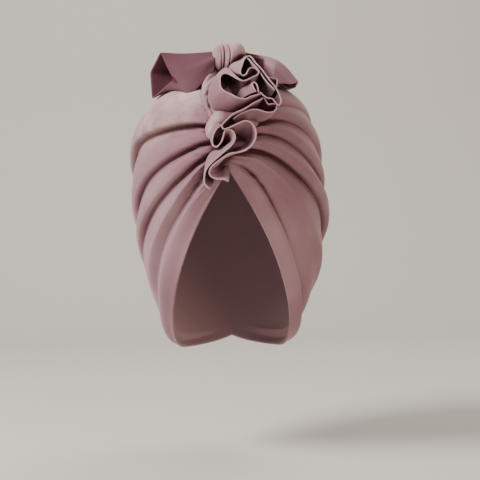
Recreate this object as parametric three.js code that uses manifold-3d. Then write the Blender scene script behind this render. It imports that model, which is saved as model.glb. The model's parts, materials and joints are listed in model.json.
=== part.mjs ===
// Turban headwrap of stretch velvet, in the form it keeps on a head: a pleated crown gathered at the
// forehead, a front band over the gather, a two-part ruffle, a centre strap, and a bow of a knot and
// two open tails on top. Millimetres, +Z up, the face towards -Y. The origin is the top of the hollow
// that the head fills.
import * as THREE from "three";
import { mergeVertices } from "three/addons/utils/BufferGeometryUtils.js";
import Module from "manifold-3d";

const wasm = await Module();
wasm.setup();

// Driving dimensions: the hollow for the head
const HOLLOW_HALF_WIDTH = 84;
const HOLLOW_FRONT = 98;
const HOLLOW_BACK = 110;
const HOLLOW_RISE = 107;
const HOLLOW_DROP = 166;
// Roundness of the hollow: 2 is an ellipse, more is boxier
const PLAN_ROUNDNESS = 2.1;
const DOME_ROUNDNESS = 2.6;
const NAPE_ROUNDNESS = 2;

// Driving dimensions: the cloth, its pleats and the gap between pieces
const CROWN_CLOTH = 2;
const RUFFLE_CLOTH = 1.6;
const TAIL_CLOTH = 1.8;
const PLEAT_RISE = 6;
const GATHER_RISE = 3;
const SEAT_GAP = 0.4;

// Heights of the two seams' ends, as drops below the hollow's top
const FRONT_SEAM_TOP = 40;
const FRONT_SEAM_APEX = 85;
const BACK_SEAM_TOP = 152;
const BACK_SEAM_HEM = 242;
// Where the hem leaves the gather, in degrees round from the top centre line
const HEM_TURN = 138;

// Driving dimensions: the band, strap, knot, ruffles and tails
const BAND_HALF_LENGTH = 22;
const BAND_DEPTH = 7;
const BAND_TURN = 6;
const BAND_END = 0.5;
const BAND_ROUNDNESS = { swell: 3, tip: 2.5 };
const BAND_PLACE = { across: 2, turn: 32.5 };
const STRAP_HALF_WIDTH = 13;
const STRAP_DEPTH = 4;
const STRAP_WAIST = 0.75;
const STRAP_RAMP = 0.4;
const STRAP_BED = 1;
const STRAP_ROUNDNESS = 2.5;
const STRAP_WRINKLE = 0.9;
const STRAP_WRINKLES = 4;
const STRAP_PLACE = { across: -9, from: 40, to: 70 };
const KNOT_HALF_WIDTH = 16;
const KNOT_RADIUS = 15;
const KNOT_ROUNDNESS = 4;
const KNOT_WAIST = 0.45;
const KNOT_LEAN = 7;
const KNOT_WRINKLE = 0.9;
const KNOT_WRINKLES = 3;
const KNOT_PLACE = { x: 3, y: -42, z: 13 };
const RUFFLE_HALF_WIDTH = 35;
const RUFFLE_DEPTH = 27;
const FRILL_GATHER = 0.5;
const FRILL_FOOT = 8;
const LOWER_STEM = { across: 0.04, turn: 20 };
const UPPER_STEM = { across: 0.38, turn: 46 };
const TAIL_REACH = 68;
const TAIL_HEIGHT = 45;
const TAIL_DEPTH = 34;

// How finely each piece is faceted
const CROWN_STEPS_PER_ROW = 2;
const CROWN_RINGS = 22;
const RING_BUNCHING = 1.3;
const BAND_FACETS = { across: 10, along: 6 };
const STRAP_FACETS = { across: 16, along: 6 };
const KNOT_FACETS = { around: 20, along: 16 };
const TAIL_FACETS = { around: 16, along: 8 };
const STRIP_STEPS_PER_BEND = 2;
const STRIP_ROWS = 3;
// Tolerances of the working: halvings of a ray, the step of a slope and the merging of points in mm,
// and the step of a strip's slope as shares of a column and of its height
const RAY_HALVINGS = 36;
const SLOPE_STEP = 0.05;
const SAME_POINT = 1e-3;
const STRIP_SLOPE_STEP = { along: 0.25, up: 0.05 };

const CENTRE = new THREE.Vector3(0, 0, -HOLLOW_RISE);
const smooth = (t) => THREE.MathUtils.smoothstep(t, 0, 1);
const mix = THREE.MathUtils.lerp;
const point = (x, y, z) => new THREE.Vector3(x, y, z);

// How far out a point lies in the hollow's shape: 1 on its surface, less inside.
function reach(p) {
  const x = Math.abs(p.x) / HOLLOW_HALF_WIDTH;
  const y = Math.abs(p.y) / (p.y < 0 ? HOLLOW_FRONT : HOLLOW_BACK);
  const up = p.z > CENTRE.z;
  const z = Math.abs(p.z - CENTRE.z) / (up ? HOLLOW_RISE : HOLLOW_DROP);
  const roundness = up ? DOME_ROUNDNESS : NAPE_ROUNDNESS;
  const plan = (x ** PLAN_ROUNDNESS + y ** PLAN_ROUNDNESS) ** (1 / PLAN_ROUNDNESS);
  return plan ** roundness + z ** roundness;
}

// The point where a ray from inside meets the hollow's surface.
function cast(from, direction) {
  let inside = 0;
  let outside = 2 * (HOLLOW_DROP + HOLLOW_BACK);
  for (let halving = 0; halving < RAY_HALVINGS; halving++) {
    const middle = (inside + outside) / 2;
    if (reach(from.clone().addScaledVector(direction, middle)) < 1) inside = middle;
    else outside = middle;
  }
  return from.clone().addScaledVector(direction, inside);
}

// The outward normal of the hollow's surface, from differences of reach.
function normalAt(p) {
  const slope = (axis) => {
    const d = point(0, 0, 0).setComponent(axis, SLOPE_STEP);
    return reach(p.clone().add(d)) - reach(p.clone().sub(d));
  };
  return point(slope(0), slope(1), slope(2)).normalize();
}

const FRONT = point(0, -1, 0);
const BACK = point(0, 1, 0);

// Pleats of each side, from the top centre line down to the hem. side and lead are the angles of a
// line round the chord of the two seams, in degrees, at the temple and at the gather. rise is a
// share of PLEAT_RISE, and fade the share of the way to the nape where the line has sunk.
const LEFT_PLEATS = [
  { name: "top_line", side: 0, lead: 0, rise: 0, fade: 0.5 },
  { name: "dome", side: 24, lead: 20, rise: 0.05, fade: 0.5 },
  { name: "shoulder", side: 50, lead: 42, rise: 0.75, fade: 0.75 },
  { name: "first_crest", side: 65, lead: 60, rise: 1.25, fade: 0.9 },
  { name: "first_crease", side: 71, lead: 69, rise: 0, fade: 0.8 },
  { name: "first_flat", side: 79, lead: 74, rise: 0.45, fade: 0.7 },
  { name: "second_crest", side: 87, lead: 79, rise: 0.9, fade: 0.6 },
  { name: "second_crease", side: 92, lead: 84, rise: 0.05, fade: 0.55 },
  { name: "third_crest", side: 100.5, lead: 89, rise: 0.9, fade: 0.62 },
  { name: "third_crease", side: 106, lead: 97, rise: 0, fade: 0.6 },
  { name: "fourth_crest", side: 117, lead: 102, rise: 0.8, fade: 0.62 },
  { name: "fourth_crease", side: 122.5, lead: 112, rise: 0.1, fade: 0.6 },
  { name: "hem_crest", side: 130, lead: 122, rise: 0.55, fade: 1.2 },
  { name: "hem", side: HEM_TURN, lead: HEM_TURN, rise: 0.25, fade: 1.2 },
];
const RIGHT_PLEATS = [
  { name: "top_line", side: 0, lead: 0, rise: 0, fade: 0.5 },
  { name: "dome", side: 28, lead: 22, rise: 0.05, fade: 0.5 },
  { name: "upper_crest", side: 52, lead: 48, rise: 0.45, fade: 0.6 },
  { name: "upper_crease", side: 57, lead: 54, rise: 0.15, fade: 0.6 },
  { name: "first_crest", side: 63, lead: 59, rise: 0.75, fade: 0.7 },
  { name: "first_crease", side: 71, lead: 62, rise: 0.05, fade: 0.7 },
  { name: "second_crest", side: 78, lead: 67, rise: 0.7, fade: 0.75 },
  { name: "second_crease", side: 82, lead: 73, rise: 0.1, fade: 0.75 },
  { name: "third_crest", side: 87, lead: 79, rise: 1.1, fade: 0.9 },
  { name: "third_crease", side: 94, lead: 90, rise: 0, fade: 0.85 },
  { name: "fourth_crest", side: 108, lead: 95, rise: 0.75, fade: 0.7 },
  { name: "fourth_valley", side: 125, lead: 112, rise: 0, fade: 0.7 },
  { name: "hem_crest", side: 133.5, lead: 121, rise: 0.55, fade: 1.2 },
  { name: "hem", side: HEM_TURN, lead: HEM_TURN, rise: 0.35, fade: 1.2 },
];
const LAST_ROW = LEFT_PLEATS.length - 1;
const LEAD_END = 0.3;
const GATHER_END = 0.14;
const FADE_START = 0.5;
const NAPE_START = 0.8;
const HEM_SHARE = 0.01;
const HEM_CLEARANCE = 0.5;

// One number of the pleat table at a place between its rows.
function between(rows, place, column) {
  const row = Math.min(Math.floor(place), LAST_ROW - 1);
  const part = place - row;
  const ease = column === "rise" ? smooth(part) : part;
  return mix(rows[row][column], rows[row + 1][column], ease);
}

// A point of the crown's wall. place runs over the pleat rows, negative on the left side, along runs
// from the front seam (0) to the back seam (1), lift is the height over the hollow's surface, and
// spill turns the hem's line further round, in degrees.
function crownPoint(place, along, lift, spill) {
  const rows = place < 0 ? LEFT_PLEATS : RIGHT_PLEATS;
  const row = Math.abs(place);
  const down = row / LAST_ROW;
  const front = cast(point(0, 0, -mix(FRONT_SEAM_TOP, FRONT_SEAM_APEX, down)), FRONT);
  const back = cast(point(0, 0, -mix(BACK_SEAM_TOP, BACK_SEAM_HEM, down)), BACK);
  const line = mix(between(rows, row, "lead"), between(rows, row, "side"), smooth(along / LEAD_END));
  const turn = line + (down > 1 - HEM_SHARE ? spill : 0);
  const angle = THREE.MathUtils.degToRad(turn) * Math.sign(place || 1);
  const chord = back.clone().sub(front).normalize();
  const rising = point(0, -chord.z, chord.y);
  const outward = point(Math.sin(angle), 0, 0).addScaledVector(rising, Math.cos(angle));
  const sweep = Math.PI * along;
  const ray = chord.clone().multiplyScalar(-Math.cos(sweep)).addScaledVector(outward, Math.sin(sweep));
  const base = cast(front.clone().add(back).multiplyScalar(0.5), ray);
  const fade = between(rows, row, "fade");
  const grow = smooth(along / GATHER_END);
  const keep = 1 - smooth((along / fade - FADE_START) / (1 - FADE_START));
  const sunk = smooth((along - NAPE_START) / (1 - NAPE_START));
  const pleat = PLEAT_RISE * between(rows, row, "rise") * grow * keep * (1 - sunk);
  const height = pleat + GATHER_RISE * (1 - grow) + lift;
  return base.addScaledVector(normalAt(base), height);
}

// Turns a list of vertices and a list of triangles into a solid.
function solidOf(vertices, triangles) {
  const geometry = new THREE.BufferGeometry();
  const numbers = vertices.flatMap((v) => v.toArray());
  geometry.setAttribute("position", new THREE.Float32BufferAttribute(numbers, 3));
  geometry.setIndex(triangles.flat());
  const merged = mergeVertices(geometry, SAME_POINT);
  const kept = [];
  const index = merged.index.array;
  for (let i = 0; i < index.length; i += 3) {
    const [a, b, c] = index.slice(i, i + 3);
    if (a !== b && b !== c && c !== a) kept.push(a, b, c);
  }
  const mesh = new wasm.Mesh({
    numProp: 3,
    vertProperties: new Float32Array(merged.attributes.position.array),
    triVerts: new Uint32Array(kept),
  });
  return new wasm.Manifold(mesh);
}

// The same, turned the right way out if its triangles run clockwise.
function outwardSolid(vertices, triangles) {
  const made = solidOf(vertices, triangles);
  return made.volume() > 0 ? made : solidOf(vertices, triangles.map(([a, b, c]) => [c, b, a]));
}

// The two triangles of a quad whose corners run anticlockwise seen from outside.
const quad = (a, b, c, d) => [[a, b, c], [a, c, d]];

// The crown's wall, or with other lifts a cutter that follows it.
function crownSolid(innerLift, outerLift, spill) {
  const half = LAST_ROW * CROWN_STEPS_PER_ROW;
  const vertices = [];
  const triangles = [];
  const id = (column, ring, skin) => ((column + half) * (CROWN_RINGS + 1) + ring) * 2 + skin;
  for (let column = -half; column <= half; column++)
    for (let ring = 0; ring <= CROWN_RINGS; ring++) {
      const along = (ring / CROWN_RINGS) ** RING_BUNCHING;
      const place = column / CROWN_STEPS_PER_ROW;
      for (const lift of [innerLift, outerLift]) vertices.push(crownPoint(place, along, lift, spill));
    }
  for (let ring = 0; ring < CROWN_RINGS; ring++) {
    for (let column = -half; column < half; column++) {
      const corners = (skin) => [
        id(column, ring, skin), id(column + 1, ring, skin),
        id(column + 1, ring + 1, skin), id(column, ring + 1, skin),
      ];
      const [a, b, c, d] = corners(1);
      triangles.push(...quad(a, b, c, d));
      const [e, f, g, h] = corners(0);
      triangles.push(...quad(h, g, f, e));
    }
    const hem = (column, skin, step) => id(column, ring + step, skin);
    triangles.push(...quad(hem(-half, 0, 0), hem(-half, 1, 0), hem(-half, 1, 1), hem(-half, 0, 1)));
    triangles.push(...quad(hem(half, 0, 1), hem(half, 1, 1), hem(half, 1, 0), hem(half, 0, 0)));
  }
  return solidOf(vertices, triangles);
}

const crown = crownSolid(0, CROWN_CLOTH, 0);
const crownCutter = crownSolid(-SEAT_GAP, CROWN_CLOTH + SEAT_GAP, HEM_CLEARANCE);

// A point over the forehead and the front of the dome: across in mm from the centre line, turn in
// degrees up from level, and lift over the hollow's surface.
function frontPoint(across, turn, lift) {
  const angle = THREE.MathUtils.degToRad(turn);
  const base = cast(point(across, 0, CENTRE.z), point(0, -Math.cos(angle), Math.sin(angle)));
  return base.addScaledVector(normalAt(base), lift);
}

// A closed slab from two grids of points, outer over inner, given by functions of two shares. With
// wrap the first direction closes on itself.
function slab(outer, inner, across, along, wrap = false) {
  const columns = wrap ? across : across + 1;
  const vertices = [];
  const triangles = [];
  for (let i = 0; i < columns; i++)
    for (let j = 0; j <= along; j++)
      vertices.push(outer(i / across, j / along), inner(i / across, j / along));
  const id = (i, j, skin) => ((i % columns) * (along + 1) + j) * 2 + skin;
  for (let i = 0; i < across; i++) {
    for (let j = 0; j < along; j++) {
      triangles.push(...quad(id(i, j, 0), id(i + 1, j, 0), id(i + 1, j + 1, 0), id(i, j + 1, 0)));
      triangles.push(...quad(id(i, j + 1, 1), id(i + 1, j + 1, 1), id(i + 1, j, 1), id(i, j, 1)));
    }
    triangles.push(...quad(id(i, 0, 1), id(i + 1, 0, 1), id(i + 1, 0, 0), id(i, 0, 0)));
    triangles.push(...quad(id(i, along, 0), id(i + 1, along, 0), id(i + 1, along, 1), id(i, along, 1)));
  }
  if (!wrap)
    for (let j = 0; j < along; j++) {
      triangles.push(...quad(id(0, j, 0), id(0, j + 1, 0), id(0, j + 1, 1), id(0, j, 1)));
      triangles.push(...quad(id(across, j, 1), id(across, j + 1, 1), id(across, j + 1, 0), id(across, j, 0)));
    }
  return outwardSolid(vertices, triangles);
}

// The largest body of a solid, without the crumbs that trimming leaves.
const largest = (solid) => solid.decompose().sort((a, b) => b.volume() - a.volume())[0];
const signed = (share) => 2 * share - 1;
const arch = (share, power) => Math.sqrt(Math.max(0, 1 - Math.abs(share) ** power));

// The front band: a vaulted strip of cloth across the gather.
function frontBand(grown) {
  const { swell, tip } = BAND_ROUNDNESS;
  const height = (u, v) => BAND_DEPTH * arch(signed(u), swell) * arch(signed(v), swell);
  const at = (u, v, lift) => {
    const across = BAND_PLACE.across + signed(u) * (BAND_HALF_LENGTH + grown);
    const turn = BAND_PLACE.turn + signed(v) * BAND_TURN * mix(BAND_END, 1, arch(signed(u), tip));
    return frontPoint(across, turn, CROWN_CLOTH + GATHER_RISE + height(u, v) + lift);
  };
  const outer = (u, v) => at(u, v, CROWN_CLOTH + grown);
  const inner = (u, v) => (grown ? at(u, v, -height(u, v) - GATHER_RISE) : at(u, v, 0));
  return slab(outer, inner, BAND_FACETS.across, BAND_FACETS.along);
}

// The centre strap: a gathered strip, with its wrinkles along it.
function centreStrap(grown) {
  const at = (u, v, lift) => {
    const slim = mix(1, STRAP_WAIST, smooth(v));
    const across = STRAP_PLACE.across + signed(u) * (STRAP_HALF_WIDTH * slim + grown);
    const turn = mix(STRAP_PLACE.from, STRAP_PLACE.to, v);
    const wrinkle = STRAP_WRINKLE * Math.cos(signed(u) * Math.PI * STRAP_WRINKLES);
    const over = GATHER_RISE * (1 - smooth(v / STRAP_RAMP)) + STRAP_BED;
    const swell = (STRAP_DEPTH + wrinkle) * arch(signed(u), STRAP_ROUNDNESS);
    return frontPoint(across, turn, over + swell + lift);
  };
  const outer = (u, v) => at(u, v, 2 * CROWN_CLOTH + grown);
  const inner = (u, v) => at(u, v, grown ? -STRAP_DEPTH : CROWN_CLOTH + SEAT_GAP);
  return slab(outer, inner, STRAP_FACETS.across, STRAP_FACETS.along);
}

// The bow's knot: cloth wound round the bow, wide on top and narrow where it runs down.
function bowKnot(grown) {
  const at = (u, v) => {
    const round = 2 * Math.PI * u;
    const side = -Math.cos(Math.PI * v);
    const narrow = (1 - Math.cos(round)) / 2;
    const width = KNOT_HALF_WIDTH * mix(1, KNOT_WAIST, narrow) + grown;
    const ridge = KNOT_WRINKLE * Math.cos(side * Math.PI * KNOT_WRINKLES + round);
    const radius = (KNOT_RADIUS + ridge) * arch(side, KNOT_ROUNDNESS) + grown;
    const x = KNOT_PLACE.x + side * width - narrow * KNOT_LEAN;
    return point(x, KNOT_PLACE.y - radius * Math.sin(round), KNOT_PLACE.z + radius * Math.cos(round));
  };
  const columns = KNOT_FACETS.around;
  const rows = KNOT_FACETS.along;
  const vertices = [at(0, 0), at(0, 1)];
  const triangles = [];
  const id = (i, j) => 2 + (i % columns) * (rows - 1) + j - 1;
  for (let i = 0; i < columns; i++)
    for (let j = 1; j < rows; j++) vertices.push(at(i / columns, j / rows));
  for (let i = 0; i < columns; i++) {
    triangles.push([0, id(i, 1), id(i + 1, 1)], [1, id(i + 1, rows - 1), id(i, rows - 1)]);
    for (let j = 1; j < rows - 1; j++)
      triangles.push(...quad(id(i, j), id(i, j + 1), id(i + 1, j + 1), id(i + 1, j)));
  }
  return outwardSolid(vertices, triangles);
}

// Each tail's sections, from the knot to the open mouth. Every column is a corner of the flattened
// tube as shares of TAIL_REACH, TAIL_DEPTH and TAIL_HEIGHT.
const LEFT_TAIL = [
  {
    name: "root", top: [-0.1, -1.3, 0.48], back: [-0.1, -1.06, 0.36], heel: [-0.1, -1.12, 0.14],
    toe: [-0.16, -1.66, 0.04], face: [-0.15, -1.62, 0.3],
  },
  {
    name: "middle", top: [-0.53, -1.3, 0.47], back: [-0.56, -0.75, 0.2], heel: [-0.59, -1.0, -0.13],
    toe: [-0.46, -1.94, -0.42], face: [-0.52, -1.68, 0.08],
  },
  {
    name: "mouth", top: [-0.84, -1.3, 0.5], back: [-1.0, -0.88, 0.06], heel: [-0.98, -0.96, -0.4],
    toe: [-0.64, -1.52, -0.19], face: [-0.73, -1.5, 0.16],
  },
];
const RIGHT_TAIL = [
  {
    name: "root", top: [0.2, -1.3, 0.46], back: [0.18, -1.0, 0.36], heel: [0.18, -1.06, 0.1],
    toe: [0.2, -1.53, 0.08], face: [0.2, -1.6, 0.28],
  },
  {
    name: "middle", top: [0.56, -1.18, 0.34], back: [0.58, -0.72, 0.18], heel: [0.54, -0.78, -0.04],
    toe: [0.53, -1.52, -0.18], face: [0.56, -1.5, 0.1],
  },
  {
    name: "mouth", top: [0.96, -0.92, -0.12], back: [0.92, -0.68, -0.26], heel: [0.8, -0.88, -0.35],
    toe: [0.7, -1.46, -0.2], face: [0.84, -1.3, -0.16],
  },
];

function bowTail(sections) {
  const corners = ["top", "back", "heel", "toe", "face"];
  const lines = corners.map((corner) => {
    const places = sections.map((section) => {
      const [x, y, z] = section[corner];
      return point(x * TAIL_REACH, y * TAIL_DEPTH, z * TAIL_HEIGHT);
    });
    return new THREE.CatmullRomCurve3(places);
  });
  const at = (u, v, inward) => {
    const loop = lines.map((line) => line.getPoint(v));
    const centre = loop.reduce((sum, p) => sum.add(p), point(0, 0, 0)).divideScalar(loop.length);
    const p = new THREE.CatmullRomCurve3(loop, true).getPoint(u % 1);
    return p.addScaledVector(centre.sub(p).normalize(), inward);
  };
  const outer = (u, v) => at(u, v, 0);
  const inner = (u, v) => at(u, v, TAIL_CLOTH);
  return slab(outer, inner, TAIL_FACETS.around, TAIL_FACETS.along, true);
}

// Frill strips. Each row is a bend of the strip's free edge: across as a share of
// RUFFLE_HALF_WIDTH, turn in degrees, lift as a share of RUFFLE_DEPTH, and swell, how far the strip
// bulges beyond its own edge.
const LOWER_INNER_STRIP = [
  { across: -0.35, turn: 1, lift: 0.81, swell: 0 },
  { across: -0.46, turn: 4.4, lift: 0.81, swell: 0 },
  { across: -0.46, turn: 9.7, lift: 0.81, swell: 0.1 },
  { across: -0.3, turn: 14, lift: 0.81, swell: 0 },
  { across: -0.12, turn: 17.2, lift: 0.81, swell: 0 },
  { across: 0.06, turn: 20, lift: 0.81, swell: 0 },
  { across: 0.15, turn: 23, lift: 0.81, swell: 0 },
  { across: 0.1, turn: 25.2, lift: 0.81, swell: 0 },
  { across: -0.01, turn: 25.2, lift: 0.81, swell: 0 },
  { across: -0.09, turn: 23.4, lift: 0.81, swell: 0 },
  { across: -0.16, turn: 21, lift: 0.81, swell: 0 },
  { across: -0.27, turn: 20.4, lift: 0.8, swell: 0 },
  { across: -0.33, turn: 22, lift: 0.7, swell: 0 },
];
const LOWER_OUTER_STRIP = [
  { across: -0.02, turn: 4.4, lift: 0.89, swell: 0 },
  { across: -0.2, turn: 5.2, lift: 0.89, swell: 0 },
  { across: -0.33, turn: 8, lift: 0.89, swell: 0 },
  { across: -0.26, turn: 11.2, lift: 0.89, swell: 0 },
  { across: -0.06, turn: 14.4, lift: 0.89, swell: 0 },
  { across: 0.2, turn: 17, lift: 0.89, swell: 0 },
  { across: 0.42, turn: 18.9, lift: 0.89, swell: 0.05 },
  { across: 0.53, turn: 23.6, lift: 0.89, swell: 0.1 },
  { across: 0.49, turn: 27.4, lift: 0.89, swell: 0.1 },
  { across: 0.38, turn: 29, lift: 0.89, swell: 0 },
  { across: 0.2, turn: 28.3, lift: 0.89, swell: 0 },
  { across: 0.05, turn: 27, lift: 0.89, swell: 0 },
  { across: -0.09, turn: 27.2, lift: 0.89, swell: 0 },
  { across: -0.08, turn: 29.4, lift: 0.89, swell: 0 },
  { across: 0.08, turn: 31.4, lift: 0.89, swell: 0 },
  { across: 0.31, turn: 34, lift: 0.89, swell: 0 },
  { across: 0.53, turn: 36.3, lift: 0.89, swell: 0 },
  { across: 0.7, turn: 38, lift: 0.86, swell: 0 },
  { across: 0.83, turn: 38.6, lift: 0.8, swell: 0 },
  { across: 0.97, turn: 38.4, lift: 0.78, swell: 0 },
  { across: 0.98, turn: 36.6, lift: 0.76, swell: 0 },
  { across: 0.86, turn: 35, lift: 0.76, swell: 0 },
  { across: 0.68, turn: 33, lift: 0.74, swell: 0 },
];
const UPPER_STRIP = [
  { across: 0.6, turn: 40, lift: 0.98, swell: 0 },
  { across: 0.5, turn: 38.9, lift: 1, swell: 0 },
  { across: 0.36, turn: 37.3, lift: 1, swell: 0 },
  { across: 0.18, turn: 37.8, lift: 1, swell: 0.2 },
  { across: -0.02, turn: 39.7, lift: 1, swell: 0.5 },
  { across: -0.11, turn: 43.1, lift: 1, swell: 0.6 },
  { across: -0.08, turn: 46.6, lift: 1, swell: 0.5 },
  { across: 0.02, turn: 46.8, lift: 1, swell: 0 },
  { across: 0.13, turn: 44.8, lift: 1, swell: 0 },
  { across: 0.3, turn: 44, lift: 1, swell: 0 },
  { across: 0.47, turn: 46.2, lift: 1, swell: 0 },
  { across: 0.6, turn: 49.5, lift: 1, swell: 0 },
  { across: 0.54, turn: 51.2, lift: 1, swell: 0 },
  { across: 0.44, turn: 49.8, lift: 1, swell: 0 },
  { across: 0.38, turn: 47.6, lift: 1, swell: 0 },
  { across: 0.28, turn: 47.6, lift: 1, swell: 0 },
  { across: 0.28, turn: 50, lift: 1, swell: 0 },
  { across: 0.33, turn: 53.7, lift: 1, swell: 0 },
  { across: 0.42, turn: 57, lift: 1, swell: 0.1 },
  { across: 0.55, turn: 56.4, lift: 1, swell: 0.1 },
  { across: 0.64, turn: 52.5, lift: 1, swell: 0 },
  { across: 0.8, turn: 47, lift: 1, swell: 0 },
  { across: 0.96, turn: 42, lift: 1, swell: 0 },
  { across: 1, turn: 39.2, lift: 1, swell: 0 },
  { across: 0.96, turn: 37.4, lift: 0.98, swell: 0 },
  { across: 0.88, turn: 37.8, lift: 0.96, swell: 0 },
  { across: 0.84, turn: 39.6, lift: 0.96, swell: 0 },
  { across: 0.74, turn: 41, lift: 0.96, swell: 0 },
];
const LOWER_SEAM = [
  { across: 0.02, turn: 15, lift: 0.45, swell: 0 },
  { across: 0.1, turn: 24, lift: 0.6, swell: 0 },
  { across: 0.3, turn: 35, lift: 0.6, swell: 0 },
];
const UPPER_SEAM = [
  { across: 0.34, turn: 41, lift: 0.6, swell: 0 },
  { across: 0.4, turn: 52, lift: 0.6, swell: 0 },
];

// One strip of a frill, gathered towards its stem at the base and flared to its free edge.
function strip(rows, foot, stem, grown) {
  const bends = rows.map((row) => point(row.across * RUFFLE_HALF_WIDTH, row.turn, row.lift * RUFFLE_DEPTH));
  const beyond = (end, next) => end.clone().sub(next).setLength(grown);
  const [before, after] = [beyond(bends[0], bends[1]), beyond(bends.at(-1), bends.at(-2))];
  bends[0].add(before);
  bends.at(-1).add(after);
  const edge = new THREE.CatmullRomCurve3(bends, false, "centripetal");
  const columns = (rows.length - 1) * STRIP_STEPS_PER_BEND;
  const middle = (u, v) => {
    const p = edge.getPoint(THREE.MathUtils.clamp(u, 0, 1));
    const row = Math.min(Math.floor(u * (rows.length - 1)), rows.length - 2);
    const swell = mix(rows[row].swell, rows[row + 1].swell, u * (rows.length - 1) - row);
    const flare = mix(FRILL_GATHER, 1, v) + swell * Math.sin(Math.PI * v);
    const across = mix(stem.across * RUFFLE_HALF_WIDTH, p.x, flare);
    return frontPoint(across, mix(stem.turn, p.y, flare), mix(foot - grown, p.z + grown, v));
  };
  const side = (u, v, way) => {
    const across = STRIP_SLOPE_STEP.along / columns;
    const along = middle(Math.min(u + across, 1), v).sub(middle(Math.max(u - across, 0), v));
    const rise = STRIP_SLOPE_STEP.up;
    const up = middle(u, Math.min(v + rise, 1)).sub(middle(u, Math.max(v - rise, 0)));
    return middle(u, v).addScaledVector(along.cross(up).normalize(), way * (RUFFLE_CLOTH / 2 + grown));
  };
  return slab((u, v) => side(u, v, 1), (u, v) => side(u, v, -1), columns, STRIP_ROWS);
}

function frill(strips, stem, grown) {
  const made = strips.map(({ rows, foot }) => strip(rows, foot, stem, grown));
  return made.reduce((joined, next) => joined.add(next));
}

// Trims a piece so that it sits on the pieces below it.
const seated = (solid, cutters) => largest(cutters.reduce((left, cutter) => left.subtract(cutter), solid));

const knot = seated(bowKnot(0), [crownCutter]);
const knotCutter = bowKnot(SEAT_GAP);
const band = seated(frontBand(0), [crownCutter]);
const bandCutter = frontBand(SEAT_GAP);
const strap = seated(centreStrap(0), [crownCutter, bandCutter, knotCutter]);
const strapCutter = centreStrap(SEAT_GAP);
const leftTail = seated(bowTail(LEFT_TAIL), [crownCutter, knotCutter, strapCutter]);
const rightTail = seated(bowTail(RIGHT_TAIL), [crownCutter, knotCutter, strapCutter]);
const lowerStrips = [
  { rows: LOWER_INNER_STRIP, foot: FRILL_FOOT },
  { rows: LOWER_OUTER_STRIP, foot: FRILL_FOOT },
  { rows: LOWER_SEAM, foot: CROWN_CLOTH },
];
const upperStrips = [
  { rows: UPPER_STRIP, foot: FRILL_FOOT },
  { rows: UPPER_SEAM, foot: CROWN_CLOTH },
];
const lowerFrill = seated(frill(lowerStrips, LOWER_STEM, 0), [crownCutter, bandCutter, strapCutter]);
const lowerCutter = frill(lowerStrips, LOWER_STEM, SEAT_GAP);
const upperRaw = frill(upperStrips, UPPER_STEM, 0);
const upperFrill = seated(upperRaw, [crownCutter, bandCutter, strapCutter, knotCutter, lowerCutter]);

// A named mesh of a solid, with its own velvet.
function meshOf(name, solid, colour) {
  const made = solid.getMesh();
  const positions = [];
  for (let i = 0; i < made.numVert; i++)
    positions.push(...made.vertProperties.slice(i * made.numProp, i * made.numProp + 3));
  const geometry = new THREE.BufferGeometry();
  geometry.setAttribute("position", new THREE.Float32BufferAttribute(positions, 3));
  geometry.setIndex([...made.triVerts]);
  geometry.computeVertexNormals();
  const velvet = { color: colour, roughness: VELVET_ROUGHNESS, metalness: 0 };
  const material = new THREE.MeshStandardMaterial(velvet);
  const mesh = new THREE.Mesh(geometry, material);
  mesh.name = name;
  return mesh;
}

const VELVET = 0xa98489;
const VELVET_DARK = 0x97717a;
const VELVET_ROUGHNESS = 0.9;
const pieces = [
  { name: "crown", solid: crown, colour: VELVET },
  { name: "front_band", solid: band, colour: VELVET },
  { name: "centre_strap", solid: strap, colour: VELVET },
  { name: "bow_knot", solid: knot, colour: VELVET },
  { name: "bow_tail_left", solid: leftTail, colour: VELVET },
  { name: "bow_tail_right", solid: rightTail, colour: VELVET },
  { name: "lower_ruffle", solid: lowerFrill, colour: VELVET_DARK },
  { name: "upper_ruffle", solid: upperFrill, colour: VELVET_DARK },
];
const turban = new THREE.Group();
for (const piece of pieces) turban.add(meshOf(piece.name, piece.solid, piece.colour));
export default turban;
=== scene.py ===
"""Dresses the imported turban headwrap: pleated crown, front band, strap, bow and ruffles in velvet."""
import json
import math
from collections import namedtuple

import bmesh
import bpy
import numpy as np
from bpy.props import FloatProperty, PointerProperty, StringProperty
from mathutils import Matrix, Vector
from mathutils.bvhtree import BVHTree

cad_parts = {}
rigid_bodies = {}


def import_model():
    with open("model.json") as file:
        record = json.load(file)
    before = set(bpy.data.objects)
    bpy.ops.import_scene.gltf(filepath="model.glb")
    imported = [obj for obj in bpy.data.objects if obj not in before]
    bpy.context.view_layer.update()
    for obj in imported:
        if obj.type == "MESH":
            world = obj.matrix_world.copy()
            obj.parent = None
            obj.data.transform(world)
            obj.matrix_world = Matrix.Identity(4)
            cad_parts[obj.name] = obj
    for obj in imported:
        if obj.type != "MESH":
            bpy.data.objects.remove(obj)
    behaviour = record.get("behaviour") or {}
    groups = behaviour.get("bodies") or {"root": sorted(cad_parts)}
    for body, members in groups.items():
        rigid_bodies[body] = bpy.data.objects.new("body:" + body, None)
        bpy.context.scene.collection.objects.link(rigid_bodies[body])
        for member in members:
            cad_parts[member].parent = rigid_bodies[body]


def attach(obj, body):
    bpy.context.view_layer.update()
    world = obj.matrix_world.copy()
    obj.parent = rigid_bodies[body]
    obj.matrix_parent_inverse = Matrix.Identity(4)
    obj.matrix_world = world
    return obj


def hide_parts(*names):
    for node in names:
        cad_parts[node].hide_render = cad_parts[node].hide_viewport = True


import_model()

bl_info = {
    "name": "Turban headwrap",
    "version": (1, 0, 0),
    "blender": (4, 5, 0),
    "location": "View3D > Sidebar > Turban",
    "description": "Builds the velvet surfaces of a pleated turban with ruffles and a bow",
    "category": "Object",
}

MM = 0.001
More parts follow.
